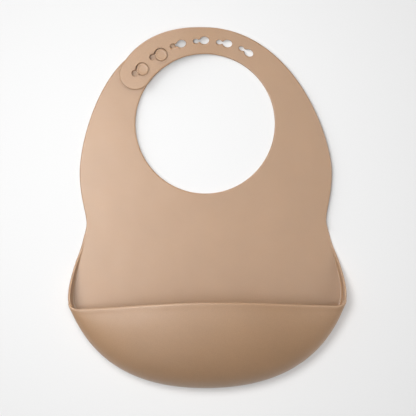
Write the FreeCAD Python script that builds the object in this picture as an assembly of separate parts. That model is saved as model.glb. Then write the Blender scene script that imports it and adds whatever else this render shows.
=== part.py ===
import FreeCAD, Part
import math
import os

# Silicone baby bib with a catcher pocket, lying flat on its back.
# X runs across the bib, Y from the pocket towards the neck band, Z out of the front of the bib.
# The back of the sheet lies on Z = 0 and the origin is under the middle of the bib.  Millimetres.

Vector = FreeCAD.Vector

# ---- sheet ------------------------------------------------------------------------------------
SHEET = 2.0                 # thickness of the moulded sheet and of both straps
SEAM = 0.2                  # gap between neighbouring pieces of the sheet at a flex line
REACH = 200.0               # longer than any piece, for cutting shapes

# ---- outline of the sheet, right half ---------------------------------------------------------
BOTTOM_Y = -149.1           # lowest point of the pocket
CORNER = (112.8, -81.9)     # where the bottom curve runs into the flared side
CORNER_ANGLE = 68.5         # direction of the outline there, degrees from +X
WAIST = (99.5, -12.5)       # narrowest place of the chest
LOBE = (104.7, 28.5)        # widest place of the chest above the waist
FOLD_Y = -15.5              # flex line across the waist
ARM_Y = 87.5                # flex line at the root of each strap
RIM_LINE_Y = -80.5          # the back sheet is named pocket_back_panel below this line

# ---- neck opening and band --------------------------------------------------------------------
NECK_Y = 69.1               # centre of the neck opening
NECK_R = 57.8
BAND_R = 80.1               # outer radius over the crown of the band
BAND_TANGENT = 70.5         # the right arm joins the crown's circle at this angle
BUTTON_ARM = (144.0, 85.8)  # angle and radius where the left arm turns into the button strap
BUTTON_END = (119.4, 69.3)  # centre of the button strap's round end
BUTTON_END_R = 11.4
TIP_ANGLE = 143.7           # centre of the keyhole strap's round tip
TIP_OUTER_R = 84.4          # outer radius of the band at the tip

# ---- how the keyhole strap rides over the button strap ----------------------------------------
LIFT = 2.25                 # height of its underside above the back plane
RAMP_START_X = 20.0         # it starts to climb here
RAMP_END_X = -21.8          # and is fully up here, just before the button strap's end

# ---- keyholes and studs -----------------------------------------------------------------------
HOLE_RING_R = 68.6          # the keyholes lie on this circle about the neck
HOLE_FIRST = 138.45         # angle of the hole nearest the tip
HOLE_PITCH = 16.2           # degrees from hole to hole
HOLE_R = 3.8                # round end that a stud's head is pushed through
NOTCH_R = 2.4               # small end that grips the stem
NOTCH_TURN = 5.8            # degrees from the round end to the small end
HOLE_TILTS = (-20.0, -15.0, -5.0, 2.0, 3.0, -3.0)   # further turn of each hole, from the tip on
THROAT = 2.4                # width of the slot between the two ends
STUD_HOLES = (0, 1)         # the studs sit in the two holes nearest the tip
STEM_R = 2.5
HEAD_R = 4.95
HEAD_Z = 4.45               # underside of the head, just clear of the keyhole strap
HEAD_H = 1.9
HEAD_ROUND = 0.8
CURL_BASE_ANGLE = 84.1      # flex line between the fourth and fifth hole
CURL_TIP_ANGLE = 116.5      # flex line between the second and third hole

# ---- catcher pocket ---------------------------------------------------------------------------
RIM_Y = -76.9               # middle of the rim
RIM_SAG = 5.0               # how much lower the rim lies beside its corners
RIM_CORNER_X = 105.6        # the rim turns into the side wall from here
RIM_END_Y = -75.0           # and reaches it here
RIM_Z = 42.0                # height of the rim in the middle
RIM_CORNER_Z = 17.0         # height of the rim at the corners
SIDE_FALL = 0.75            # below 1, the side walls come down sooner behind the corners
BELLY_Z = 10.5              # height of the widest line in the middle of the bottom
FOOT_MIDDLE = 12.0          # width of the bend between back panel and wall
FOOT_CORNER = 5.5           # the same at the corners
FOOT_TOP = 3.0              # and where the side walls begin
SIDE_START_Y = -21.5        # the side walls begin to rise here
BEND_HEIGHT = 1.1           # the bend is at most this many times as high as it is wide
SIDE_CURL = 50.0            # angle that the side wall's bend covers where it begins
RIM_SLOPE = 84.0            # angle that the front wall's bend covers at the rim
SPLIT = 0.93                # front wall ends at this share of the way to the corner
BEAD_R = 1.35               # rounded bead along the rim
BEAD_SIDES = 8
BEAD_GAP = 0.15             # front wall to its bead
SIDE_BEAD_GAP = 1.1         # side wall to its bead, which twists as it comes down
PANEL_GAP = 0.2             # back panel to the bend around it
STATIONS = 17               # sections of a wall from one end to the other
RIB_POINTS = 61


def vec(x, y, z=0.0):
    return Vector(x, y, z)


def polar(angle, radius):
    """Point at an angle and distance from the centre of the neck opening."""
    a = math.radians(angle)
    return vec(radius * math.cos(a), NECK_Y + radius * math.sin(a))


def tangent(angle, turn=0.0):
    """Anticlockwise direction around the neck opening."""
    a = math.radians(angle + 90 + turn)
    return vec(math.cos(a), math.sin(a))


def bezier(*poles):
    curve = Part.BezierCurve()
    curve.setPoles(list(poles))
    return curve.toShape()


def line(a, b):
    return Part.LineSegment(a, b).toShape()


def arc(a, b, c):
    return Part.Arc(a, b, c).toShape()


def spline(points, closed=False):
    curve = Part.BSplineCurve()
    curve.interpolate(points, PeriodicFlag=closed)
    return curve.toShape()


def mirrored(shape):
    return shape.mirror(vec(0, 0), vec(1, 0))


def flipped(point):
    return vec(-point.x, point.y, point.z)


def slab(edges, low=0.0, high=SHEET):
    """Flat piece of sheet with the given outline, which is a closed chain of edges."""
    wire = Part.Wire(Part.__sortEdges__(edges))
    return Part.Face(wire).extrude(vec(0, 0, high - low)).translated(vec(0, 0, low))


# ---- the sheet's outline ----------------------------------------------------------------------

corner = vec(*CORNER)
corner_dir = vec(math.cos(math.radians(CORNER_ANGLE)), math.sin(math.radians(CORNER_ANGLE)))
waist = vec(*WAIST)
lobe = vec(*LOBE)

bottom_curve = bezier(vec(0, BOTTOM_Y), vec(77.5, BOTTOM_Y), corner - corner_dir * 29.8, corner)
side_curve = bezier(corner, corner + corner_dir * 19.9, waist - vec(0, 11), waist)
waist_curve = bezier(waist, waist + vec(0, 9), lobe - vec(0, 20), lobe)

crown_start = polar(BAND_TANGENT, BAND_R)
right_arm_curve = bezier(lobe, lobe + vec(0, 24.4), crown_start - tangent(BAND_TANGENT) * 59.1, crown_start)
left_arm_end = polar(*BUTTON_ARM)
left_arm_curve = bezier(flipped(lobe), flipped(lobe) + vec(0, 22),
                        left_arm_end + tangent(BUTTON_ARM[0], -8) * 33.9, left_arm_end)


def below(shape, y):
    """The part of a shape under a line across the bib."""
    return shape.common(Part.makeBox(2 * REACH, 2 * REACH, 2 * REACH, vec(-REACH, y - 2 * REACH, -REACH)))


def above(shape, y):
    return shape.common(Part.makeBox(2 * REACH, 2 * REACH, 2 * REACH, vec(-REACH, y, -REACH)))


def neck_cutter():
    return Part.makeCylinder(NECK_R, 2 * REACH, vec(0, NECK_Y, -REACH))


# ---- chest ------------------------------------------------------------------------------------

def upper_chest_panel():
    """U-shaped sheet around the lower half of the neck opening, up to the roots of the straps."""
    outline = [mirrored(waist_curve), waist_curve, right_arm_curve, left_arm_curve]
    outline += [line(flipped(waist), waist), line(left_arm_end, crown_start)]
    sheet = slab(outline).cut(neck_cutter())
    sheet = below(sheet, ARM_Y - SEAM / 2)
    strip = slab([line(flipped(waist), waist), line(waist, vec(WAIST[0], FOLD_Y)),
                  line(vec(WAIST[0], FOLD_Y), vec(-WAIST[0], FOLD_Y)),
                  line(vec(-WAIST[0], FOLD_Y), flipped(waist))])
    return above(sheet.fuse(strip), FOLD_Y + SEAM / 2).removeSplitter()


def button_strap():
    """Left arm with its round end, which lies under the keyhole strap."""
    end_angle, end_radius = BUTTON_END
    inner = polar(end_angle, end_radius - BUTTON_END_R)
    outer = polar(end_angle, end_radius + BUTTON_END_R)
    nose_angle = end_angle - math.degrees(BUTTON_END_R / end_radius)
    inner_start = polar(170, NECK_R)
    hidden_edge = bezier(left_arm_end, left_arm_end - tangent(BUTTON_ARM[0], -8) * 12,
                         outer + tangent(end_angle) * 12, outer)
    low_end = vec(inner_start.x, LOBE[1])
    outline = [left_arm_curve, hidden_edge, arc(outer, polar(nose_angle, end_radius), inner)]
    outline += [arc(inner, polar(145, NECK_R), inner_start)]
    outline += [line(inner_start, low_end), line(low_end, flipped(lobe))]
    return above(slab(outline), ARM_Y + SEAM / 2)


# ---- keyhole strap ----------------------------------------------------------------------------

def keyhole_strap_outline():
    """Right arm, crown and round tip of the band, as a flat prism with the keyholes through it."""
    crown_end = polar(90, BAND_R)
    tip_outer = polar(TIP_ANGLE, TIP_OUTER_R)
    tip_inner = polar(TIP_ANGLE, NECK_R)
    tip_middle_r = (TIP_OUTER_R + NECK_R) / 2
    nose = polar(TIP_ANGLE, tip_middle_r) + tangent(TIP_ANGLE) * (TIP_OUTER_R - NECK_R) / 2
    inner_start = polar(10, NECK_R)
    low_end = vec(inner_start.x, LOBE[1])
    before_tip = tip_outer - tangent(TIP_ANGLE, 3) * 38.8
    outline = [right_arm_curve, arc(crown_start, polar(80, BAND_R), crown_end)]
    outline += [bezier(crown_end, crown_end + tangent(90) * 10, before_tip, tip_outer)]
    outline += [arc(tip_outer, nose, tip_inner), arc(tip_inner, polar(80, NECK_R), inner_start)]
    outline += [line(inner_start, low_end), line(low_end, lobe)]
    strap = above(slab(outline, -1, LIFT + SHEET + 1), ARM_Y + SEAM / 2)
    for i, tilt in enumerate(HOLE_TILTS):
        strap = strap.cut(keyhole(HOLE_FIRST - i * HOLE_PITCH, tilt))
    return strap


def keyhole(angle, tilt):
    """Round end, small end and the narrow slot between them."""
    big = polar(angle, HOLE_RING_R)
    along = tangent(angle + NOTCH_TURN / 2, tilt)
    small = big + along * (HOLE_RING_R * math.radians(NOTCH_TURN))
    depth = 4 * (LIFT + SHEET)
    half = along.cross(vec(0, 0, 1)) * (THROAT / 2)
    slot = Part.Face(Part.makePolygon([big + half, small + half, small - half, big - half, big + half]))
    ends = Part.makeCylinder(HOLE_R, depth, big).fuse(Part.makeCylinder(NOTCH_R, depth, small))
    return ends.fuse(slot.extrude(vec(0, 0, depth))).translated(vec(0, 0, -depth / 2))


def ramp_edge(height):
    """Side view of one face of the strap: flat on the table, a soft ramp, flat on the button strap."""
    low_end = vec(RAMP_START_X, 0, height)
    high_end = vec(RAMP_END_X, 0, height + LIFT)
    third = vec((RAMP_START_X - RAMP_END_X) / 3, 0)
    ramp = bezier(low_end, low_end - third, high_end + third, high_end)
    return [line(vec(REACH, 0, height), low_end), ramp, line(high_end, vec(-REACH, 0, height + LIFT))]


def strap_profile():
    """The strap's side view, pulled across the whole bib."""
    ends = [line(vec(side, 0, z), vec(side, 0, z + SHEET)) for side, z in ((REACH, 0), (-REACH, LIFT))]
    wire = Part.Wire(Part.__sortEdges__(ramp_edge(0) + ramp_edge(SHEET) + ends))
    return Part.Face(wire).extrude(vec(0, REACH, 0))


def sector(start, end):
    """Wedge of space around the neck opening between two angles."""
    centre = vec(0, NECK_Y)
    far = polar((start + end) / 2, 1.6 * REACH)
    wedge = Part.Face(Part.makePolygon([centre, polar(start, REACH), far, polar(end, REACH), centre]))
    return wedge.extrude(vec(0, 0, REACH)).translated(vec(0, 0, -REACH / 2))


def keyhole_strap_pieces():
    strap = keyhole_strap_outline().common(strap_profile())
    half_seam = math.degrees(SEAM / 2 / HOLE_RING_R)
    first, second = CURL_BASE_ANGLE, CURL_TIP_ANGLE
    return {
        "keyhole_strap_base": strap.common(sector(10, first - half_seam)),
        "keyhole_strap_middle": strap.common(sector(first + half_seam, second - half_seam)),
        "keyhole_strap_tip": strap.common(sector(second + half_seam, 170)),
    }


def stud(angle):
    """Mushroom stud: the stem stands on the button strap, the head rests over the keyhole strap."""
    foot = polar(angle, HOLE_RING_R)
    stem = Part.makeCylinder(STEM_R, HEAD_Z - SHEET, foot + vec(0, 0, SHEET))
    head = Part.makeCylinder(HEAD_R, HEAD_H, foot + vec(0, 0, HEAD_Z))
    rims = [e for e in head.Edges if isinstance(e.Curve, Part.Circle)]
    top = max(rims, key=lambda e: e.CenterOfMass.z)
    return stem, head.makeFillet(HEAD_ROUND, [top])


# ---- catcher pocket ---------------------------------------------------------------------------
# A station is a distance along the pocket's widest line, seen from the front, starting at the
# middle of the bottom and going up the right side.  A rib is the wall's outer face at a station,
# from the back panel round the bend and up to the rim.

rim_corner = vec(RIM_CORNER_X, RIM_Y - RIM_SAG)


def station_at(y):
    """Distance along the side curve where it reaches a height on the chest."""
    low, high = 0.0, side_curve.Length
    while high - low > 0.001:
        middle = (low + high) / 2
        if side_curve.valueAt(side_curve.getParameterByLength(middle)).y < y:
            low = middle
        else:
            high = middle
    return bottom_curve.Length + low


CORNER_STATION = station_at(RIM_END_Y)
TOP_STATION = station_at(SIDE_START_Y)


def widest_line(station):
    """Plan point of the widest line and its outward normal."""
    edge, length = bottom_curve, station
    if station > bottom_curve.Length:
        edge, length = side_curve, station - bottom_curve.Length
    parameter = edge.getParameterByLength(length)
    along = edge.tangentAt(parameter)
    return edge.valueAt(parameter), vec(along.y, -along.x)


rim_end = widest_line(CORNER_STATION)[0]
rim_front = bezier(vec(0, RIM_Y), vec(40, RIM_Y), vec(75, rim_corner.y + 1.2), rim_corner)
rim_turn = bezier(rim_corner, rim_corner + vec(4.6, -0.2), rim_end - vec(-0.2, 4.6), rim_end)


def rim_line(share):
    """Plan point of the rim at a share of the way from its middle to the corner's end."""
    length = share * (rim_front.Length + rim_turn.Length)
    if length <= rim_front.Length:
        return rim_front.valueAt(rim_front.getParameterByLength(length))
    return rim_turn.valueAt(rim_turn.getParameterByLength(min(length - rim_front.Length, rim_turn.Length)))


def smooth(t):
    t = min(max(t, 0.0), 1.0)
    return t * t * (3 - 2 * t)


def fall_at(station):
    """How far a station is up the side wall: 0 at the rim's corner, 1 where the wall begins."""
    return (station - CORNER_STATION) / (TOP_STATION - CORNER_STATION)


def foot_width(station):
    """Width of the bend between the back panel and the wall."""
    if station < CORNER_STATION:
        return FOOT_MIDDLE + (FOOT_CORNER - FOOT_MIDDLE) * smooth(station / CORNER_STATION)
    return FOOT_CORNER + (FOOT_TOP - FOOT_CORNER) * smooth(fall_at(station))


def rib(station):
    """Evenly spaced points up the outer face of the wall, the share below the widest line, the length."""
    side = abs(station)
    plan, outward = widest_line(side)
    share = min(side / CORNER_STATION, 1.0)
    foot = foot_width(side)
    if side < CORNER_STATION:
        top = RIM_CORNER_Z + (RIM_Z - RIM_CORNER_Z) * (1 - share ** 2) ** 1.3
        belly = BELLY_Z + (RIM_CORNER_Z - BELLY_Z) * share ** 4
        bend = min(belly, BEND_HEIGHT * foot)
        curl = math.pi / 2
    else:
        top = belly = RIM_CORNER_Z * (1 - smooth(fall_at(side) ** SIDE_FALL))
        bend = min(belly, BEND_HEIGHT * foot)
        curl = math.radians(SIDE_CURL + (90 - SIDE_CURL) * bend / (BEND_HEIGHT * foot))
    points = []
    for i in range(RIB_POINTS):
        turn = curl * i / (RIB_POINTS - 1)
        inset = foot * (1 - math.sin(turn) / math.sin(curl))
        rise = bend * (1 - math.cos(turn)) / (1 - math.cos(curl))
        points.append(plan - outward * inset + vec(0, 0, rise))
    if belly > bend:
        points += [plan + vec(0, 0, z) for z in evenly(bend, belly, RIB_POINTS)[1:]]
    lower = length_of(points)
    if side < CORNER_STATION:
        run = rim_line(share) - plan
        slope = math.radians(RIM_SLOPE)
        for i in range(1, RIB_POINTS):
            turn = slope * i / (RIB_POINTS - 1)
            inward = (1 - math.cos(turn)) / (1 - math.cos(slope))
            rise = belly + (top - belly) * math.sin(turn) / math.sin(slope)
            points.append(plan + run * inward + vec(0, 0, rise))
    whole = length_of(points)
    points = resampled(points, 0.0, 1.0, RIB_POINTS)
    if station < 0:
        points = [flipped(p) for p in points]
    return points, lower / whole, whole


def length_of(points):
    return sum((b - a).Length for a, b in zip(points, points[1:]))


def resampled(points, start, end, count):
    """Evenly spaced points along a chain, between two shares of its length."""
    marks = [0.0]
    for a, b in zip(points, points[1:]):
        marks.append(marks[-1] + (b - a).Length)
    result = []
    at = 0
    for i in range(count):
        target = marks[-1] * (start + (end - start) * i / (count - 1))
        while at < len(points) - 2 and marks[at + 1] < target:
            at += 1
        span = marks[at + 1] - marks[at]
        result.append(points[at] + (points[at + 1] - points[at]) * ((target - marks[at]) / span))
    return result


def faces_at(station):
    """Outer and inner face of the wall at a station, the share below the widest line, and the length."""
    step = 0.4
    outer, share, whole = rib(station)
    before = rib(station - step)[0]
    after = rib(min(station + step, TOP_STATION))[0]
    inner = []
    for i, point in enumerate(outer):
        up = outer[min(i + 1, RIB_POINTS - 1)] - outer[max(i - 1, 0)]
        normal = up.cross(after[i] - before[i])
        inner.append(point + normal.normalize() * SHEET)
    return outer, inner, share, whole


def wall(stations, start, end, count):
    """Solid wall through several stations; start and end give the share of each rib that it covers."""
    rows = ([], [])
    for station in stations:
        outer, inner, share, whole = faces_at(station)
        for row, points in zip(rows, (outer, inner)):
            row.append(resampled(points, start(share, whole), end(share, whole), count))
    surfaces = []
    for row in rows:
        surface = Part.BSplineSurface()
        surface.interpolate(row)
        surfaces.append(surface)
    faces = [surface.toShape() for surface in surfaces]
    for a, b in zip(*(borders(surface) for surface in surfaces)):
        faces.append(Part.makeRuledSurface(a.toShape(), b.toShape()))
    shell = Part.makeShell(faces)
    shell.sewShape()
    solid = Part.makeSolid(shell)
    if solid.Volume < 0:
        solid.reverse()
    return solid


def borders(surface):
    """The four edge curves of a surface."""
    u_first, u_last, v_first, v_last = surface.bounds()
    return [surface.uIso(u_first), surface.uIso(u_last), surface.vIso(v_first), surface.vIso(v_last)]


def bead(stations):
    """Rounded bead along the free edge of the wall."""
    sections = []
    for station in stations:
        outer, inner, share, whole = faces_at(station)
        centre = (outer[-1] + inner[-1]) / 2
        across = (inner[-1] - outer[-1]).normalize()
        up = (outer[-1] - outer[-2]).normalize()
        radius = min(BEAD_R, 0.9 * centre.z)
        ring = []
        for i in range(BEAD_SIDES):
            a = 2 * math.pi * i / BEAD_SIDES
            ring.append(centre + across * (radius * math.cos(a)) + up * (radius * math.sin(a)))
        sections.append(Part.makePolygon(ring + ring[:1]))
    return Part.makeLoft(sections, True, False)


def evenly(first, last, count):
    return [first + (last - first) * i / (count - 1) for i in range(count)]


def foot_line(inset):
    """Points of the back panel's edge, just inside the bend, from the bottom up the right side."""
    points = []
    for station in evenly(0, TOP_STATION, 3 * STATIONS):
        plan, outward = widest_line(station)
        points.append(plan - outward * (foot_width(station) + inset))
    return points


def back_panel():
    """Flat back of the pocket and the chest below the waist's flex line."""
    right = foot_line(PANEL_GAP)
    foot = spline([flipped(p) for p in right[:0:-1]] + right)
    start = side_curve.getParameterByLength(TOP_STATION - bottom_curve.Length + PANEL_GAP)
    shoulder = side_curve.Curve.toShape(start, side_curve.LastParameter)
    end = line(right[-1], side_curve.valueAt(start))
    panel = slab([foot, end, shoulder, line(waist, flipped(waist)), mirrored(shoulder), mirrored(end)])
    return below(panel, FOLD_Y - SEAM / 2)


def pocket_pieces():
    front_end = SPLIT * CORNER_STATION
    middle = evenly(-front_end, front_end, 2 * STATIONS - 1)
    half_gap = SEAM / 2
    side = evenly(front_end + 2 * half_gap, CORNER_STATION, 6)
    side += evenly(CORNER_STATION, TOP_STATION, STATIONS)[1:]
    front_edge = BEAD_R + BEAD_GAP
    side_edge = BEAD_R + SIDE_BEAD_GAP
    side_wall = wall(side, lambda s, w: 0.0, lambda s, w: 1 - side_edge / w, 15)
    side_bead = bead(side)
    return {
        "pocket_bottom": wall(middle, lambda s, w: 0.0, lambda s, w: s - half_gap / w, 20),
        "pocket_front": wall(middle, lambda s, w: s + half_gap / w, lambda s, w: 1 - front_edge / w, 11),
        "pocket_rim": bead(middle),
        "pocket_side_right": side_wall,
        "pocket_side_left": mirrored(side_wall),
        "side_rim_right": side_bead,
        "side_rim_left": mirrored(side_bead),
    }


def main():
    pieces = {"upper_chest_panel": upper_chest_panel(), "button_strap": button_strap()}
    pieces.update(keyhole_strap_pieces())
    for name, hole in zip(("lower_button", "upper_button"), STUD_HOLES):
        stem, head = stud(HOLE_FIRST - hole * HOLE_PITCH)
        pieces[name + "_stem"] = stem
        pieces[name + "_head"] = head
    back = back_panel()
    pieces["pocket_back_panel"] = below(back, RIM_LINE_Y)
    pieces["lower_chest_panel"] = above(back, RIM_LINE_Y)
    pieces.update(pocket_pieces())
    os.makedirs("parts", exist_ok=True)
    whole = Part.makeCompound(list(pieces.values()))
    print("box", whole.BoundBox)
    for name, shape in pieces.items():
        solids = shape.Solids
        print(f"{name:24s} solids {len(solids)} valid {shape.isValid()} volume {shape.Volume:10.1f}")
        (solids[0] if len(solids) == 1 else Part.makeCompound(solids)).exportStep(f"parts/{name}.step")


main()
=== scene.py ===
import math

import bmesh
import bpy
import numpy as np
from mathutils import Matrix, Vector, geometry


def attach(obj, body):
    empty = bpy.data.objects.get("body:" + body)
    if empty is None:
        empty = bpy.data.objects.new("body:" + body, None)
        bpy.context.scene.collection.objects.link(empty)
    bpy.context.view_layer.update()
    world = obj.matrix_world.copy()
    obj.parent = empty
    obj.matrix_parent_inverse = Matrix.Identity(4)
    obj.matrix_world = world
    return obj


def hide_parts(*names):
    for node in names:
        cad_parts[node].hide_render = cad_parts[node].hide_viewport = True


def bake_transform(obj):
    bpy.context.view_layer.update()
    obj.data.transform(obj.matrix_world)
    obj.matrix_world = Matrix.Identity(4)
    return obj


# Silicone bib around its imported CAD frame.  The curves are worked out in millimetres and turned
# into metres when a mesh is made.  X runs across the bib, Y towards the neck band, Z out of its
# front; the back of the sheet lies on Z = 0.

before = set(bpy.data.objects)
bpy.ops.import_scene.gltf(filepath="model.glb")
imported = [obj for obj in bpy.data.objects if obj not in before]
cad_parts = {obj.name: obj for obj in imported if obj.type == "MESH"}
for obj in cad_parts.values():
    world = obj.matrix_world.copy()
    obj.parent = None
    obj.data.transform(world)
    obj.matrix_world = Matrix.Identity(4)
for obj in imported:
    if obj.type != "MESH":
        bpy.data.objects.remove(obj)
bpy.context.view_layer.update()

MM = 0.001

# ---- sheet ----
SHEET = 2.0
EDGE_INSET = 1.3            # the sheet's edges are rounded over this width
EDGE_FLAT = 0.35            # extra row of points beside the rounding, so that it doesn't tint the flat
HOLE_FLAT = 0.06            # the same beside a keyhole
EDGE_STEPS = 10
CURVE_POINTS = 400
NECK_POINTS = 500
OUTLINE_STEP = 1.5          # distance between points along an outline
HOLE_STEP = 0.7             # and round a keyhole
CELL = 3.6                  # and inside a flat area
STRAP_CELL = 3.0            # and inside a strap
BORDER_GAP = 0.62           # inner points stay this share of a cell away from the border
BORDER_GROUP = 200          # border points that are compared at a time
SQUARE_STEP = 4.0           # an outline's rounding fades out from 1 to 2 steps past the kept part
NO_LIMIT = 1000.0           # no cut on this side

# ---- outline ----
# A handle is the distance from a curve's end to its next pole.
BOTTOM_Y = -149.1
BOTTOM_HANDLE = 77.5
CORNER = np.array((112.8, -81.9))
CORNER_ANGLE = 68.5
CORNER_HANDLE_LOW = 29.8
CORNER_HANDLE_HIGH = 19.9
WAIST = np.array((99.5, -12.5))
WAIST_HANDLE_LOW = 11.0
WAIST_HANDLE_HIGH = 9.0
LOBE = np.array((104.7, 28.5))
LOBE_HANDLE_LOW = 20.0
LOBE_HANDLE_RIGHT = 24.4
LOBE_HANDLE_LEFT = 22.0
NECK_Y = 69.1
NECK_R = 57.8
BAND_R = 80.1
BAND_TANGENT = 70.5         # the right arm meets the crown's circle at this angle
BAND_HANDLE = 59.1
BUTTON_ARM = (144.0, 85.8)  # angle and radius where the keyhole strap starts to cover the left arm
BUTTON_ARM_TURN = -8.0
BUTTON_ARM_HANDLE = 33.9
BUTTON_HIDDEN_HANDLE = 12.0
BUTTON_END = (119.4, 69.3)
BUTTON_END_R = 11.4
TIP_ANGLE = 143.7
TIP_OUTER_R = 84.4
TIP_TURN = 3.0
TIP_HANDLE = 38.8
CROWN_HANDLE = 10.0
CHEST_NECK_ANGLES = (20.0, -200.0)  # the chest's outline follows the neck's edge between these
LEFT_FOOT_ANGLE = 200.0     # the straps' outlines leave it here, in the part that is cut off
RIGHT_FOOT_ANGLE = -20.0
SKIN_SEAM_Y = -19.0         # pocket skin below, chest skin above
CHEST_OVERLAP_Y = -30.0     # the chest's outline starts this low and is cut back to the seam
STRAP_SEAM_Y = 66.0         # chest skin below, strap skins above

# ---- keyhole strap ----
LIFT = 2.25                 # it lies this much higher over the button strap
RAMP_START_X = 20.0
RAMP_LENGTH = 41.8
HOLE_RING_R = 68.6          # the keyholes lie on this circle about the neck
HOLE_FIRST = 138.45
HOLE_PITCH = 16.2
HOLE_TILTS = (-20.0, -15.0, -5.0, 2.0, 3.0, -3.0)   # further turn of each hole, from the tip on
NOTCH_TURN = 5.8            # the small end is this many degrees further round the neck
NOTCH_R = 2.4
HOLE_FILLET = 1.0           # small arcs in the throat between the two ends
USED_HOLES = 2
USED_HOLE_R = 5.0           # stretched round the stud
USED_HOLE_ROUNDING = 0.6
USED_HOLE_LEAN = (0.0, 0.0)
USED_HOLE_SHIFT = ((-0.35, 0.55), (0.4, 0.0))       # in X and Y, off the keyholes' circle
FREE_HOLE_R = 3.9
FREE_HOLE_ROUNDING = 0.75
FREE_HOLE_LEAN = (0.15, 1.2)    # from the wall's top to its foot, in X and Y
HOLE_SQUEEZE = (1.0, 1.0, 0.82, 0.82, 0.82, 0.74)   # each hole's width, as a share of a round one's
MIDDLE_SEAM_ANGLE = 67.9    # strap base skin up to here, then the middle skin
TIP_SEAM_ANGLE = 100.3      # and the tip skin from here

# ---- studs ----
STUD_SHIFT = ((0.35, 0.05), (1.15, -0.75))          # in X and Y, off the keyholes' circle
STEM_R = 2.5
HEAD_R = 4.95
HEAD_Z = 4.45
HEAD_TOP = 6.35
HEAD_ROUND = 0.95
HEAD_UNDER_ROUND = 0.35
# (radius, height) from under the strap's face up the flared stem
STEM_ROWS = ((0.0, 1.7), (3.4, 1.7), (3.2, 2.05), (2.75, 2.3), (STEM_R, 2.7), (STEM_R, 4.1),
             (2.6, 4.35), (2.9, HEAD_Z))
# (distance inside the rounding, depth) of the shallow dish in the head
DISH_ROWS = ((0.25, 0.03), (0.55, 0.14), (0.9, 0.22), (1.3, 0.25))
DISH_FLAT_R = 1.5
DISH_DEPTH = 0.25
STUD_SIDES = 64

# ---- pocket ----
# The wall is a bend at its foot, a straight stretch and an inward curve up to the rim.
RIM_Y = -76.9
RIM_SAG = 5.0
RIM_CORNER_X = 105.6
RIM_END_Y = -75.0
RIM_POLES_X = (40.0, 75.0)
RIM_POLE_RISE = 1.2
RIM_TURN = (4.6, 0.2)       # poles of the small curve at the rim's corner
RIM_Z = 42.0
RIM_CORNER_Z = 17.0
RIM_FALL = (2.0, 1.3)       # exponents of the rim's fall from its middle to its corners
SIDE_FALL = 0.75            # exponent of the side wall's fall from there to its top end
BELLY_Z = 10.5              # the wall starts to lean in at this height
BELLY_RISE = 4.0            # exponent of that height's rise towards the corners
FOOT_MIDDLE = 12.0          # width of the bend
FOOT_CORNER = 4.4
FOOT_TOP = 2.8
SIDE_START_Y = -21.5
BEND_HEIGHT = 1.1           # the bend is at most this many times as high as it is wide
SIDE_CURL = 50.0            # the bend turns at least this far where the side wall runs out
RIM_SLOPE = 84.0            # the inward curve turns this far
BEAD_HALF = 1.3             # half thickness of the bead along the rim
BEAD_LENGTH = 5.0           # the wall thickens over this length below the rim
BEAD_FADE_START = 4.0       # the bead starts to fade this far before the corner
BEAD_FADE_SHORT = 8.0       # and fades over the side wall's length less this
NO_BEAD_BELOW = 20.0        # walls lower than this have an even thickness up to the edge
RIB_PART = 80               # points in each of the wall's three stretches
RIB_FINE = 121
WALL_ROWS = 44
STATION_STEP = 2.0
NORMAL_STEP = 0.2
CLOSING_POINTS = 60         # across the open end of the back panel, which is cut off

# ---- looks ----
SILICONE_LIGHT = (0.354, 0.207, 0.1095)
SILICONE_DEEP = (0.331, 0.1938, 0.1027)
SPECK_DARK = (0.93, 0.93, 0.93)
SPECK_LIGHT = (1.05, 1.05, 1.05)
ROUGHNESS = (0.39, 0.51)
TABLE_DARK = (0.77, 0.77, 0.77)
TABLE_LIGHT = (0.80, 0.80, 0.80)

# ---- camera ----
CAMERA_HEIGHT = 1.2
VIEW_WIDTH = 0.3457         # width of the picture on the table
CAMERA_CENTRE = (0.0015, -0.0008)
CAMERA_ROLL = -0.75
SENSOR_WIDTH = 36.0

# ---- light ----
SKY_STRENGTH = 0.10
BACKDROP_STRENGTH = 0.72    # only the camera sees this one
FLOOR_SIZE = 4.0
FLOOR_Z = -0.0002
LAMP_WATTS = 6.0            # power of a lamp of strength 1 at one metre
# name, place, size, strength
BIB_LAMPS = (
    ("key_light", (-0.25, 0.0, 0.35), 0.34, 1.11),
    ("key_core", (-0.22, 0.10, 0.30), 0.22, 0.30),
    ("overhead_light", (0.0, 0.0, 1.6), 1.2, 0.47),
    ("right_light", (0.9, 0.3, 0.5), 0.6, 0.50),
    ("top_light", (-0.25, 0.85, 0.42), 0.5, 0.78),
    ("front_light", (-0.3, -0.5, 0.6), 0.5, 0.12),
    ("side_fill", (0.9, 0.0, 0.22), 0.5, 0.45))
# name, place, size, strength, target
FLOOR_LAMPS = (
    ("floor_fill", (0.0, 0.0, 2.5), 4.0, 0.10, (0, 0, 0)),
    ("floor_light", (-0.10, 0.05, 0.5), 0.25, 0.82, (-0.10, 0.05, 0)))
# name, direction, energy, angle
TABLE_SUN = ("table_sun", (-0.36, 0.27, 1.0), 0.62, 34)
LOW_SUN = ("low_sun", (-0.86, 0.47, 0.46), 3.25, 46)


# ---- curves -------------------------------------------------------------------------------------

def vec2(x, y):
    return np.array((x, y), float)


def bezier(*poles):
    t = np.linspace(0, 1, CURVE_POINTS)[:, None]
    a, b, c, d = (np.array(p, float) for p in poles)
    return a * (1 - t) ** 3 + 3 * b * t * (1 - t) ** 2 + 3 * c * t ** 2 * (1 - t) + d * t ** 3


def polar(angle, radius):
    a = np.radians(angle)
    return np.stack((radius * np.cos(a), NECK_Y + radius * np.sin(a)), -1)


def tangent(angle, turn=0.0):
    a = math.radians(angle + 90 + turn)
    return vec2(math.cos(a), math.sin(a))


def circle_arc(centre, radius, start, end, count=200):
    a = np.radians(np.linspace(start, end, count))
    return np.stack((centre[0] + radius * np.cos(a), centre[1] + radius * np.sin(a)), -1)


def flip(points):
    return np.array(points) * (-1, 1)


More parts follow.
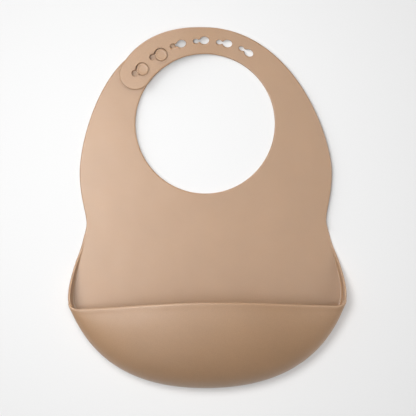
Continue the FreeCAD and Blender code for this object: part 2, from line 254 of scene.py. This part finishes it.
def lengths(points):
    steps = np.linalg.norm(np.diff(points, axis=0), axis=1)
    return np.concatenate(([0.0], np.cumsum(steps)))


def at_length(points, marks, s):
    return np.stack([np.interp(s, marks, points[:, k]) for k in range(points.shape[1])], -1)


def joined(*chains):
    """One chain of points from several that follow each other."""
    kept = [chains[0]]
    for chain in chains[1:]:
        kept.append(chain[1:] if np.linalg.norm(chain[0] - kept[-1][-1]) < 1e-6 else chain)
    return np.concatenate(kept)


def ring(points, step):
    """Evenly spaced points around a closed chain."""
    closed = np.concatenate((points, points[:1]))
    marks = lengths(closed)
    count = max(12, int(round(marks[-1] / step)))
    return at_length(closed, marks, np.arange(count) * marks[-1] / count)


def smooth(t):
    t = np.clip(t, 0, 1)
    return t * t * (3 - 2 * t)


corner_dir = vec2(math.cos(math.radians(CORNER_ANGLE)), math.sin(math.radians(CORNER_ANGLE)))
bottom_curve = bezier((0, BOTTOM_Y), (BOTTOM_HANDLE, BOTTOM_Y), CORNER - corner_dir * CORNER_HANDLE_LOW,
                      CORNER)
side_curve = bezier(CORNER, CORNER + corner_dir * CORNER_HANDLE_HIGH, WAIST - (0, WAIST_HANDLE_LOW),
                    WAIST)
waist_curve = bezier(WAIST, WAIST + (0, WAIST_HANDLE_HIGH), LOBE - (0, LOBE_HANDLE_LOW), LOBE)
crown_start = polar(BAND_TANGENT, BAND_R)
right_arm_curve = bezier(LOBE, LOBE + (0, LOBE_HANDLE_RIGHT),
                         crown_start - tangent(BAND_TANGENT) * BAND_HANDLE, crown_start)
left_arm_end = polar(*BUTTON_ARM)
left_arm_along = tangent(BUTTON_ARM[0], BUTTON_ARM_TURN)
left_arm_curve = bezier(flip(LOBE), flip(LOBE) + (0, LOBE_HANDLE_LEFT),
                        left_arm_end + left_arm_along * BUTTON_ARM_HANDLE, left_arm_end)

widest = joined(bottom_curve, side_curve)
widest_marks = lengths(widest)
BOTTOM_LENGTH = lengths(bottom_curve)[-1]
WIDEST_LENGTH = widest_marks[-1]


def station_at(y):
    """Distance along the widest line at a height on the chest, on the way up the side."""
    side = widest_marks >= BOTTOM_LENGTH
    return float(np.interp(y, widest[side, 1], widest_marks[side]))


CORNER_STATION = station_at(RIM_END_Y)
TOP_STATION = station_at(SIDE_START_Y)
rim_corner = vec2(RIM_CORNER_X, RIM_Y - RIM_SAG)
rim_end = at_length(widest, widest_marks, CORNER_STATION)
rim_chain = joined(
    bezier((0, RIM_Y), (RIM_POLES_X[0], RIM_Y), (RIM_POLES_X[1], rim_corner[1] + RIM_POLE_RISE),
           rim_corner),
    bezier(rim_corner, rim_corner + (RIM_TURN[0], -RIM_TURN[1]), rim_end + (RIM_TURN[1], -RIM_TURN[0]),
           rim_end))
rim_marks = lengths(rim_chain)


# ---- meshes -------------------------------------------------------------------------------------

def new_object(name, points, faces):
    mesh = bpy.data.meshes.new(name)
    mesh.from_pydata([tuple(p) for p in np.asarray(points) * MM], [], [tuple(f) for f in faces])
    mesh.validate()
    mesh.polygons.foreach_set("use_smooth", [True] * len(mesh.polygons))
    obj = bpy.data.objects.new(name, mesh)
    bpy.context.scene.collection.objects.link(obj)
    return obj


def cut(obj, point, keep):
    """Cuts a closed mesh with a plane, keeps the side that the direction points to and caps it."""
    bm = bmesh.new()
    bm.from_mesh(obj.data)
    everything = bm.verts[:] + bm.edges[:] + bm.faces[:]
    bmesh.ops.bisect_plane(bm, geom=everything, dist=1e-7, plane_co=Vector(point) * MM,
                           plane_no=Vector(keep), clear_inner=True, clear_outer=False)
    rim = [e for e in bm.edges if e.is_boundary]
    caps = bmesh.ops.holes_fill(bm, edges=rim, sides=0)["faces"]
    for face in caps:
        face.smooth = False
        for edge in face.edges:
            edge.smooth = False
    bmesh.ops.triangulate(bm, faces=caps)
    bmesh.ops.recalc_face_normals(bm, faces=bm.faces[:])
    bm.to_mesh(obj.data)
    bm.free()


def inward_normals(loop, side):
    """Unit normals in the plane at a ring's points; they point into the material."""
    along = np.roll(loop, -1, axis=0) - np.roll(loop, 1, axis=0)
    along /= np.linalg.norm(along, axis=1)[:, None]
    normal = np.stack((-along[:, 1], along[:, 0]), -1)
    return normal * side


def area_of(loop):
    x, y = loop[:, 0], loop[:, 1]
    return 0.5 * float(np.sum(x * np.roll(y, -1) - np.roll(x, -1) * y))


def inside(points, loop):
    """Which points lie inside a ring."""
    result = np.zeros(len(points), bool)
    a, b = loop, np.roll(loop, -1, axis=0)
    for (x1, y1), (x2, y2) in zip(a, b):
        if y1 == y2:
            continue
        crosses = (y1 > points[:, 1]) != (y2 > points[:, 1])
        at = x1 + (points[:, 1] - y1) * (x2 - x1) / (y2 - y1)
        result ^= crosses & (points[:, 0] < at)
    return result


def filled(loops, cell):
    """Triangles of a flat area between an outer ring and its holes, with even points inside."""
    rows = []
    low, high = loops[0].min(0), loops[0].max(0)
    step_y = cell * math.sqrt(3) / 2
    for j, y in enumerate(np.arange(low[1], high[1], step_y)):
        xs = np.arange(low[0] + (j % 2) * cell / 2, high[0], cell)
        rows.append(np.stack((xs, np.full(len(xs), y)), -1))
    grid = np.concatenate(rows)
    keep = inside(grid, loops[0])
    for loop in loops[1:]:
        keep &= ~inside(grid, loop)
    grid = grid[keep]
    border = np.concatenate(loops)
    near = np.full(len(grid), np.inf)
    for start in range(0, len(border), BORDER_GROUP):
        gap = np.linalg.norm(grid[:, None] - border[None, start:start + BORDER_GROUP], axis=2).min(1)
        near = np.minimum(near, gap)
    grid = grid[near > BORDER_GAP * cell]
    edges, base = [], 0
    for loop in loops:
        n = len(loop)
        edges += [(base + i, base + (i + 1) % n) for i in range(n)]
        base += n
    points = np.concatenate((border, grid))
    made = geometry.delaunay_2d_cdt([Vector(p) for p in points], edges, [], 0, 1e-6)
    source = [o[0] for o in made[3]]
    faces = np.array([[source[v] for v in f] for f in made[2]])
    middles = points[faces].mean(1)
    keep = inside(middles, loops[0])
    for loop in loops[1:]:
        keep &= ~inside(middles, loop)
    faces = faces[keep]
    a, b, c = (points[faces[:, k]] for k in range(3))
    turn = (b - a)[:, 0] * (c - a)[:, 1] - (b - a)[:, 1] * (c - a)[:, 0]
    faces[turn < 0] = faces[turn < 0][:, ::-1]
    return points, faces


def edge_profile(inset, flat, half):
    """(distance from the edge, height from the middle) from the top face round to the bottom face."""
    turn = np.linspace(math.pi / 2, -math.pi / 2, EDGE_STEPS + 1)
    rows = [(inset * (1 - math.cos(t)), half * math.sin(t)) for t in turn]
    return [(inset + flat, half)] + rows + [(inset + flat, -half)]


def sheet(name, outline, kept, holes=(), cell=CELL, rise=None):
    """Flat sheet with rounded edges.  A hole is (points, width of its rounding, lean of its wall).

    The outline runs on past the part between the two kept heights, with square edges there,
    because that stretch is cut off afterwards.
    """
    rings = [(ring(outline, OUTLINE_STEP), EDGE_INSET, vec2(0, 0))]
    rings += [(ring(points, HOLE_STEP), inset, lean) for points, inset, lean in holes]
    tops, walls = [], []
    for index, (loop, inset, lean) in enumerate(rings):
        anticlockwise = area_of(loop) > 0
        side = 1 if anticlockwise else -1
        inward = inward_normals(loop, side if index == 0 else -side)
        if index == 0:
            y = loop[:, 1]
            above = np.clip((y - kept[0]) / SQUARE_STEP + 2, 0, 1)
            below = np.clip((kept[1] - y) / SQUARE_STEP + 2, 0, 1)
            inward *= (above * below)[:, None]
        rows = []
        for offset, height in edge_profile(inset, HOLE_FLAT if index else EDGE_FLAT, SHEET / 2):
            share = (SHEET / 2 - height) / SHEET
            plan = loop + inward * offset + lean * share
            rows.append(np.column_stack((plan, np.full(len(plan), SHEET / 2 + height))))
        walls.append((rows, index == 0, anticlockwise))
        tops.append(rows[0][:, :2])
    flat, triangles = filled(tops, cell)
    count = len(flat)
    top = np.column_stack((flat, np.full(count, SHEET)))
    bottom = np.column_stack((flat, np.zeros(count)))
    base = 0
    for rows, _, _ in walls:
        n = len(rows[0])
        bottom[base:base + n] = rows[-1]
        base += n
    points = [top, bottom]
    total = 2 * count
    faces = [tuple(f) for f in triangles] + [tuple(f[::-1] + count) for f in triangles]
    base = 0
    for rows, outer, anticlockwise in walls:
        n = len(rows[0])
        ids = [np.arange(n) + base]
        for row in rows[1:-1]:
            points.append(row)
            ids.append(np.arange(n) + total)
            total += n
        ids.append(np.arange(n) + base + count)
        base += n
        reverse = outer != anticlockwise
        for upper, lower in zip(ids, ids[1:]):
            for i in range(n):
                j = (i + 1) % n
                quad = (upper[i], lower[i], lower[j], upper[j])
                faces.append(quad[::-1] if reverse else quad)
    points = np.concatenate(points)
    if rise is not None:
        points[:, 2] += rise(points[:, 0])
    return new_object(name, points, faces)


# ---- chest and straps ---------------------------------------------------------------------------

def neck_arc(start, end):
    return polar(np.linspace(start, end, NECK_POINTS), NECK_R)


def chest_skin():
    side = side_curve[side_curve[:, 1] > CHEST_OVERLAP_Y]
    right = joined(side, waist_curve, right_arm_curve)
    left = joined(flip(side), flip(waist_curve), left_arm_curve)
    neck = neck_arc(*CHEST_NECK_ANGLES)
    outline = joined(flip(side[:1]), right, neck, left[::-1])
    obj = sheet("chest_skin", outline[1:], (SKIN_SEAM_Y, STRAP_SEAM_Y))
    cut(obj, (0, SKIN_SEAM_Y, 0), (0, 1, 0))
    cut(obj, (0, STRAP_SEAM_Y, 0), (0, -1, 0))
    return obj


def below_foot(angle):
    """From the neck's edge down to the lobes' height, in the part that is cut off."""
    low = polar(angle, NECK_R)
    return np.array((low, vec2(low[0], LOBE[1])))


def button_strap_skin():
    end_angle, end_radius = BUTTON_END
    outer = polar(end_angle, end_radius + BUTTON_END_R)
    hidden = bezier(left_arm_end, left_arm_end - left_arm_along * BUTTON_HIDDEN_HANDLE,
                    outer + tangent(end_angle) * BUTTON_HIDDEN_HANDLE, outer)
    nose = circle_arc(polar(end_angle, end_radius), BUTTON_END_R, end_angle, end_angle - 180)
    outline = joined(left_arm_curve, hidden, nose, neck_arc(end_angle, LEFT_FOOT_ANGLE),
                     below_foot(LEFT_FOOT_ANGLE))
    obj = sheet("button_strap_skin", outline, (STRAP_SEAM_Y, NO_LIMIT), cell=STRAP_CELL)
    cut(obj, (0, STRAP_SEAM_Y, 0), (0, 1, 0))
    return obj


def fillet_centre(round_r):
    """Centre of the small arcs between a keyhole's round end and its small end."""
    gap = HOLE_RING_R * math.radians(NOTCH_TURN)
    reach = round_r + HOLE_FILLET
    x = (reach ** 2 - (NOTCH_R + HOLE_FILLET) ** 2 + gap ** 2) / (2 * gap)
    return x, math.sqrt(reach ** 2 - x ** 2)


def keyhole(index):
    """Outline of one keyhole, the width of its rounding and the lean of its wall."""
    used = index < USED_HOLES
    round_r = USED_HOLE_R if used else FREE_HOLE_R
    big_angle = HOLE_FIRST - index * HOLE_PITCH
    gap = HOLE_RING_R * math.radians(NOTCH_TURN)
    fx, fy = fillet_centre(round_r)
    start = math.degrees(math.atan2(fy, fx))
    small_start = math.degrees(math.atan2(fy, fx - gap))
    local = joined(
        circle_arc((0, 0), round_r, start, 360 - start, 60),
        circle_arc((fx, -fy), HOLE_FILLET, 180 - start, 180 - small_start, 10),
        circle_arc((gap, 0), NOTCH_R, -small_start, small_start, 36),
        circle_arc((fx, fy), HOLE_FILLET, small_start - 180, start - 180, 10))
    big = polar(big_angle, HOLE_RING_R)
    if used:
        big = big + vec2(*USED_HOLE_SHIFT[index])
    along = tangent(big_angle + NOTCH_TURN / 2, HOLE_TILTS[index])
    across = vec2(-along[1], along[0])
    points = big + local[:, :1] * along + local[:, 1:] * across * HOLE_SQUEEZE[index]
    if used:
        return points, USED_HOLE_ROUNDING, vec2(*USED_HOLE_LEAN)
    return points, FREE_HOLE_ROUNDING, vec2(*FREE_HOLE_LEAN)


def keyhole_strap():
    """Outline and keyholes of the whole keyhole strap."""
    crown_end = polar(90, BAND_R)
    tip_outer = polar(TIP_ANGLE, TIP_OUTER_R)
    middle_r = (TIP_OUTER_R + NECK_R) / 2
    half = (TIP_OUTER_R - NECK_R) / 2
    outline = joined(
        right_arm_curve,
        polar(np.linspace(BAND_TANGENT, 90, 80), BAND_R),
        bezier(crown_end, crown_end + tangent(90) * CROWN_HANDLE,
               tip_outer - tangent(TIP_ANGLE, TIP_TURN) * TIP_HANDLE, tip_outer),
        circle_arc(polar(TIP_ANGLE, middle_r), half, TIP_ANGLE, TIP_ANGLE + 180),
        neck_arc(TIP_ANGLE, RIGHT_FOOT_ANGLE),
        below_foot(RIGHT_FOOT_ANGLE))
    return outline, [keyhole(index) for index in range(len(HOLE_TILTS))]


def strap_rise(x):
    return LIFT * smooth((RAMP_START_X - x) / RAMP_LENGTH)


def radial_cut(obj, angle, forward):
    """Cuts a strap along a line from the neck's centre and keeps the part ahead of it or behind it."""
    point = polar(angle, HOLE_RING_R)
    direction = tangent(angle) * (1 if forward else -1)
    cut(obj, (point[0], point[1], 0), (direction[0], direction[1], 0))


def keyhole_strap_skins():
    """The strap in three skins, each cut from the whole strap."""
    outline, holes = keyhole_strap()

    def whole(name, low):
        made = sheet(name, outline, (STRAP_SEAM_Y, NO_LIMIT), holes, STRAP_CELL, strap_rise)
        cut(made, (0, low, 0), (0, 1, 0))
        return made

    base = whole("keyhole_strap_base_skin", STRAP_SEAM_Y)
    radial_cut(base, MIDDLE_SEAM_ANGLE, False)
    middle = whole("keyhole_strap_middle_skin", NECK_Y)
    radial_cut(middle, MIDDLE_SEAM_ANGLE, True)
    radial_cut(middle, TIP_SEAM_ANGLE, False)
    tip = whole("keyhole_strap_tip_skin", NECK_Y)
    radial_cut(tip, TIP_SEAM_ANGLE, True)
    return base, middle, tip


def stud_rows():
    """(radius, height) from the foot of the stem up and round the head to its middle."""
    rows = list(STEM_ROWS)
    under_r = HEAD_R - HEAD_UNDER_ROUND
    rows.append((under_r, HEAD_Z))
    for turn in np.radians(np.linspace(-60, 0, 4)):
        rows.append((under_r + HEAD_UNDER_ROUND * math.cos(turn),
                     HEAD_Z + HEAD_UNDER_ROUND * (1 + math.sin(turn))))
    upper_r = HEAD_R - HEAD_ROUND
    for turn in np.radians(np.linspace(0, 90, 9)):
        rows.append((upper_r + HEAD_ROUND * math.cos(turn), HEAD_TOP - HEAD_ROUND * (1 - math.sin(turn))))
    rows += [(upper_r - inside_by, HEAD_TOP - depth) for inside_by, depth in DISH_ROWS]
    rows += [(DISH_FLAT_R, HEAD_TOP - DISH_DEPTH), (0.0, HEAD_TOP - DISH_DEPTH)]
    return rows


def stud(name, index):
    """Mushroom stud: stem with a flared foot, dished head with a rounded rim."""
    centre = polar(HOLE_FIRST - index * HOLE_PITCH, HOLE_RING_R) + vec2(*STUD_SHIFT[index])
    points, faces, ids = [], [], []
    for radius, z in stud_rows():
        if radius == 0:
            ids.append([len(points)] * STUD_SIDES)
            points.append((centre[0], centre[1], z))
            continue
        ids.append(list(range(len(points), len(points) + STUD_SIDES)))
        for i in range(STUD_SIDES):
            a = 2 * math.pi * i / STUD_SIDES
            points.append((centre[0] + radius * math.cos(a), centre[1] + radius * math.sin(a), z))
    for lower, upper in zip(ids, ids[1:]):
        for i in range(STUD_SIDES):
            j = (i + 1) % STUD_SIDES
            face = []
            for v in (lower[i], lower[j], upper[j], upper[i]):
                if v not in face:
                    face.append(v)
            faces.append(face)
    return new_object(name, points, faces)


# ---- pocket -------------------------------------------------------------------------------------

def widest_at(station):
    """Plan point of the widest line and its outward normal."""
    s = np.clip((station - NORMAL_STEP, station, station + NORMAL_STEP), 0, WIDEST_LENGTH)
    before, plan, after = at_length(widest, widest_marks, s)
    along = (after - before) / np.linalg.norm(after - before)
    return plan, vec2(along[1], -along[0])


def rib(station):
    """Even points up the wall's outer face at a station, and the face's length there."""
    side = abs(station)
    plan, outward = widest_at(side)
    share = min(side / CORNER_STATION, 1.0)
    if side < CORNER_STATION:
        foot = FOOT_MIDDLE + (FOOT_CORNER - FOOT_MIDDLE) * smooth(share)
        top = RIM_CORNER_Z + (RIM_Z - RIM_CORNER_Z) * (1 - share ** RIM_FALL[0]) ** RIM_FALL[1]
        belly = BELLY_Z + (RIM_CORNER_Z - BELLY_Z) * share ** BELLY_RISE
        bend = min(belly, BEND_HEIGHT * foot)
        curl = math.pi / 2
    else:
        fall = min((side - CORNER_STATION) / (TOP_STATION - CORNER_STATION), 1.0)
        foot = FOOT_CORNER + (FOOT_TOP - FOOT_CORNER) * smooth(fall)
        top = belly = RIM_CORNER_Z * (1 - smooth(fall ** SIDE_FALL))
        bend = min(belly, BEND_HEIGHT * foot)
        curl = math.radians(SIDE_CURL + (90 - SIDE_CURL) * bend / (BEND_HEIGHT * foot))
    turn = curl * np.linspace(0, 1, RIB_PART)
    inset = foot * (1 - np.sin(turn) / math.sin(curl))
    rise = bend * (1 - np.cos(turn)) / (1 - math.cos(curl))
    chain = np.column_stack((plan - outward * inset[:, None], rise))
    if belly > bend:
        rise = np.linspace(bend, belly, RIB_PART)[1:]
        chain = np.concatenate((chain, np.column_stack((np.tile(plan, (len(rise), 1)), rise))))
    if side < CORNER_STATION:
        run = at_length(rim_chain, rim_marks, share * rim_marks[-1]) - plan
        slope = math.radians(RIM_SLOPE)
        turn = slope * np.linspace(0, 1, RIB_PART)[1:]
        inward = (1 - np.cos(turn)) / (1 - math.cos(slope))
        rise = belly + (top - belly) * np.sin(turn) / math.sin(slope)
        chain = np.concatenate((chain, np.column_stack((plan + run * inward[:, None], rise))))
    marks = lengths(chain)
    even = at_length(chain, marks, np.linspace(0, marks[-1], RIB_FINE))
    if station < 0:
        even[:, 0] *= -1
    return even, marks[-1]


def pocket_skin():
    """Back panel and walls of the pocket, as one closed skin."""
    half = WIDEST_LENGTH
    count = 2 * int(half / STATION_STEP) + 1
    stations = np.linspace(-half, half, count)
    made = [rib(s) for s in stations]
    outer = np.array([points for points, _ in made])
    whole = np.array([length for _, length in made])
    up = np.gradient(outer, axis=1)
    along = np.gradient(outer, axis=0)
    normal = np.cross(up, along)
    normal /= np.linalg.norm(normal, axis=2)[:, :, None]
    middle = outer + normal * (SHEET / 2)
    side_wall = TOP_STATION - CORNER_STATION
    fade = smooth((np.abs(stations) - CORNER_STATION + BEAD_FADE_START) / (side_wall - BEAD_FADE_SHORT))
    half_bead = BEAD_HALF + (SHEET / 2 - BEAD_HALF) * fade
    round_end = half_bead + (EDGE_INSET - half_bead) * fade
    turns = np.linspace(0, math.pi / 2, EDGE_STEPS // 2 + 2)
    shares = np.linspace(0, 1, RIB_FINE)
    outer_rows, inner_rows = [], []
    for i in range(count):
        length, end, thick = whole[i], round_end[i], half_bead[i]
        body = np.linspace(0, length - end - EDGE_FLAT, WALL_ROWS)
        s = np.concatenate((body, length - end + end * np.sin(turns)))
        swell = np.zeros(len(s))
        if length > NO_BEAD_BELOW:
            swell = smooth((s - (length - BEAD_LENGTH - end)) / BEAD_LENGTH)
        width = SHEET / 2 + (thick - SHEET / 2) * swell
        width[len(body):] *= np.cos(turns)
        place = at_length(middle[i], shares, s / length)
        out = at_length(normal[i], shares, s / length)
        outer_rows.append(place - out * width[:, None])
        inner_rows.append(place + out * width[:, None])
    outer_rows, inner_rows = np.array(outer_rows), np.array(inner_rows)
    foot = outer[:, 0, :2]
    closing = np.linspace(foot[-1], foot[0], CLOSING_POINTS)[1:-1]
    flat, triangles = filled([np.concatenate((foot, closing))], CELL)
    n = len(flat)
    outer_rows[:, 0] = np.column_stack((foot, np.zeros(count)))
    inner_rows[:, 0] = np.column_stack((foot, np.full(count, SHEET)))
    points = [np.column_stack((flat, np.full(n, SHEET))), np.column_stack((flat, np.zeros(n)))]
    total = 2 * n
    faces = [tuple(f) for f in triangles] + [tuple(f[::-1] + n) for f in triangles]
    columns = []
    for rows, first in ((outer_rows, np.arange(count) + n), (inner_rows, np.arange(count))):
        ids = [first]
        for k in range(1, rows.shape[1] - (1 if rows is inner_rows else 0)):
            points.append(rows[:, k])
            ids.append(np.arange(count) + total)
            total += count
        columns.append(ids)
    chain = columns[0] + columns[1][::-1]
    for lower, upper in zip(chain, chain[1:]):
        for i in range(count - 1):
            faces.append((lower[i], lower[i + 1], upper[i + 1], upper[i]))
    obj = new_object("pocket_skin", np.concatenate(points), faces)
    cut(obj, (0, SKIN_SEAM_Y, 0), (0, -1, 0))
    return obj


# ---- materials ----------------------------------------------------------------------------------

def node(tree, kind, **inputs):
    made = tree.nodes.new(kind)
    for name, value in inputs.items():
        made.inputs[name.replace("_", " ")].default_value = value
    return made


def silicone():
    material = bpy.data.materials.new("tan_silicone")
    material.use_nodes = True
    tree = material.node_tree
    shader = tree.nodes["Principled BSDF"]
    place = tree.nodes.new("ShaderNodeTexCoord").outputs["Object"]

    def noise(scale, detail):
        made = node(tree, "ShaderNodeTexNoise", Scale=scale, Detail=detail, Roughness=0.55)
        tree.links.new(place, made.inputs["Vector"])
        return made.outputs["Fac"]

    def ramp(source, stops):
        made = tree.nodes.new("ShaderNodeValToRGB")
        tree.links.new(source, made.inputs["Fac"])
        for element, (position, colour) in zip(made.color_ramp.elements, stops):
            element.position = position
            element.color = (*colour, 1)
        return made.outputs["Color"]

    cloudy = ramp(noise(28.0, 3.0), [(0.30, SILICONE_DEEP), (0.72, SILICONE_LIGHT)])
    specks = ramp(noise(1500.0, 2.0), [(0.35, SPECK_DARK), (0.70, SPECK_LIGHT)])
    mixed = tree.nodes.new("ShaderNodeMix")
    mixed.data_type = "RGBA"
    mixed.blend_type = "MULTIPLY"
    mixed.inputs["Factor"].default_value = 1.0
    colours = [s for s in mixed.inputs if s.type == "RGBA"]
    result = [s for s in mixed.outputs if s.type == "RGBA"][0]
    tree.links.new(cloudy, colours[0])
    tree.links.new(specks, colours[1])
    tree.links.new(result, shader.inputs["Base Color"])

    rough = tree.nodes.new("ShaderNodeMapRange")
    rough.inputs["To Min"].default_value = ROUGHNESS[0]
    rough.inputs["To Max"].default_value = ROUGHNESS[1]
    tree.links.new(noise(90.0, 3.0), rough.inputs["Value"])
    tree.links.new(rough.outputs["Result"], shader.inputs["Roughness"])

    fine = node(tree, "ShaderNodeBump", Strength=0.10, Distance=0.00012)
    tree.links.new(noise(2400.0, 2.0), fine.inputs["Height"])
    broad = node(tree, "ShaderNodeBump", Strength=0.35, Distance=0.0006)
    tree.links.new(noise(60.0, 2.0), broad.inputs["Height"])
    tree.links.new(fine.outputs["Normal"], broad.inputs["Normal"])
    tree.links.new(broad.outputs["Normal"], shader.inputs["Normal"])

    shader.inputs["IOR"].default_value = 1.5
    shader.inputs["Specular IOR Level"].default_value = 1.0
    shader.inputs["Sheen Weight"].default_value = 0.08
    shader.inputs["Sheen Roughness"].default_value = 0.5
    shader.inputs["Subsurface Weight"].default_value = 0.12
    shader.inputs["Subsurface Radius"].default_value = (1.0, 0.55, 0.30)
    shader.inputs["Subsurface Scale"].default_value = 0.0012
    return material


def table_paper():
    material = bpy.data.materials.new("pale_table")
    material.use_nodes = True
    tree = material.node_tree
    shader = tree.nodes["Principled BSDF"]
    place = tree.nodes.new("ShaderNodeTexCoord").outputs["Object"]
    grain = node(tree, "ShaderNodeTexNoise", Scale=900.0, Detail=2.0)
    tree.links.new(place, grain.inputs["Vector"])
    tint = tree.nodes.new("ShaderNodeValToRGB")
    tree.links.new(grain.outputs["Fac"], tint.inputs["Fac"])
    tint.color_ramp.elements[0].color = (*TABLE_DARK, 1)
    tint.color_ramp.elements[1].color = (*TABLE_LIGHT, 1)
    tree.links.new(tint.outputs["Color"], shader.inputs["Base Color"])
    shader.inputs["Roughness"].default_value = 0.9
    shader.inputs["Specular IOR Level"].default_value = 0.1
    return material


# ---- stage --------------------------------------------------------------------------------------

def table():
    mesh = bpy.data.meshes.new("floor")
    bm = bmesh.new()
    bmesh.ops.create_grid(bm, x_segments=8, y_segments=8, size=FLOOR_SIZE)
    bm.to_mesh(mesh)
    bm.free()
    obj = bpy.data.objects.new("floor", mesh)
    obj.location = (0, 0, FLOOR_Z)
    bpy.context.scene.collection.objects.link(obj)
    mesh.materials.append(table_paper())
    return obj


def studio():
    """A dim white sky, with a pale backdrop for the camera's own rays."""
    world = bpy.data.worlds.new("studio")
    bpy.context.scene.world = world
    world.use_nodes = True
    tree = world.node_tree
    sky = tree.nodes["Background"]
    sky.inputs["Color"].default_value = (1.0, 1.0, 1.0, 1)
    sky.inputs["Strength"].default_value = SKY_STRENGTH
    backdrop = tree.nodes.new("ShaderNodeBackground")
    backdrop.inputs["Color"].default_value = (1.0, 1.0, 1.0, 1)
    backdrop.inputs["Strength"].default_value = BACKDROP_STRENGTH
    path = tree.nodes.new("ShaderNodeLightPath")
    choose = tree.nodes.new("ShaderNodeMixShader")
    tree.links.new(path.outputs["Is Camera Ray"], choose.inputs["Fac"])
    tree.links.new(sky.outputs["Background"], choose.inputs[1])
    tree.links.new(backdrop.outputs["Background"], choose.inputs[2])
    tree.links.new(choose.outputs["Shader"], tree.nodes["World Output"].inputs["Surface"])


def collection(name, objects):
    made = bpy.data.collections.new(name)
    for obj in objects:
        made.objects.link(obj)
    return made


def lamp(name, place, size, strength, lit, target=(0, 0, 0)):
    """Round soft light.  Its power grows with its distance, so that strengths compare between lamps."""
    data = bpy.data.lights.new(name, "AREA")
    data.shape = "DISK"
    data.size = size
    data.energy = LAMP_WATTS * strength * sum(v * v for v in place)
    obj = bpy.data.objects.new(name, data)
    obj.location = place
    obj.rotation_euler = (Vector(target) - Vector(place)).to_track_quat("-Z", "Y").to_euler()
    bpy.context.scene.collection.objects.link(obj)
    obj.light_linking.receiver_collection = lit


def sun(name, direction, energy, angle, lit):
    """Distant light; the direction is where it comes from."""
    data = bpy.data.lights.new(name, "SUN")
    data.energy = energy
    data.angle = math.radians(angle)
    obj = bpy.data.objects.new(name, data)
    obj.rotation_euler = Vector(direction).to_track_quat("Z", "Y").to_euler()
    bpy.context.scene.collection.objects.link(obj)
    obj.light_linking.receiver_collection = lit
    return obj


def camera_above():
    """The photo's view, from straight above."""
    data = bpy.data.cameras.new("camera")
    data.sensor_width = SENSOR_WIDTH
    data.lens = SENSOR_WIDTH * CAMERA_HEIGHT / VIEW_WIDTH
    obj = bpy.data.objects.new("camera", data)
    obj.location = (*CAMERA_CENTRE, CAMERA_HEIGHT)
    obj.rotation_euler = (0, 0, math.radians(CAMERA_ROLL))
    bpy.context.scene.collection.objects.link(obj)
    bpy.context.scene.camera = obj
    bpy.context.scene.view_settings.view_transform = "Standard"


# ---- scene --------------------------------------------------------------------------------------

pocket = pocket_skin()
chest = chest_skin()
button_band = button_strap_skin()
band_base, band_middle, band_tip = keyhole_strap_skins()
lower_stud = stud("lower_stud", 0)
upper_stud = stud("upper_stud", 1)

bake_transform(pocket)
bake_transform(chest)
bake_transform(button_band)
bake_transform(band_base)

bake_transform(band_middle)
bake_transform(band_tip)

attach(lower_stud, "button_strap")
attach(upper_stud, "button_strap")

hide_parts("pocket_back_panel", "lower_chest_panel", "pocket_bottom", "pocket_side_right",
            "pocket_side_left", "side_rim_right", "side_rim_left", "pocket_front", "pocket_rim")
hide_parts("upper_chest_panel")
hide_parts("button_strap")
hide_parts("keyhole_strap_base")
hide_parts("keyhole_strap_middle")
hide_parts("keyhole_strap_tip")
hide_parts("lower_button_stem", "lower_button_head")
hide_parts("upper_button_stem", "upper_button_head")

pieces = (pocket, chest, button_band, band_base, band_middle, band_tip, lower_stud, upper_stud)
skin = silicone()
for piece in pieces:
    piece.data.materials.append(skin)

floor = table()
studio()
bib_only = collection("lit_bib", pieces)
floor_only = collection("lit_floor", (floor,))
flat_parts = collection("flat_parts", pieces[1:])

for name, place, size, strength in BIB_LAMPS:
    lamp(name, place, size, strength, bib_only)
for name, place, size, strength, target in FLOOR_LAMPS:
    lamp(name, place, size, strength, floor_only, target)
sun(*TABLE_SUN, floor_only)
# The photo's shadow is as wide beside the flat sheet as beside the pocket, so only the flat pieces
# stop the low sun.
low_sun = sun(*LOW_SUN, floor_only)
low_sun.light_linking.blocker_collection = flat_parts
camera_above()
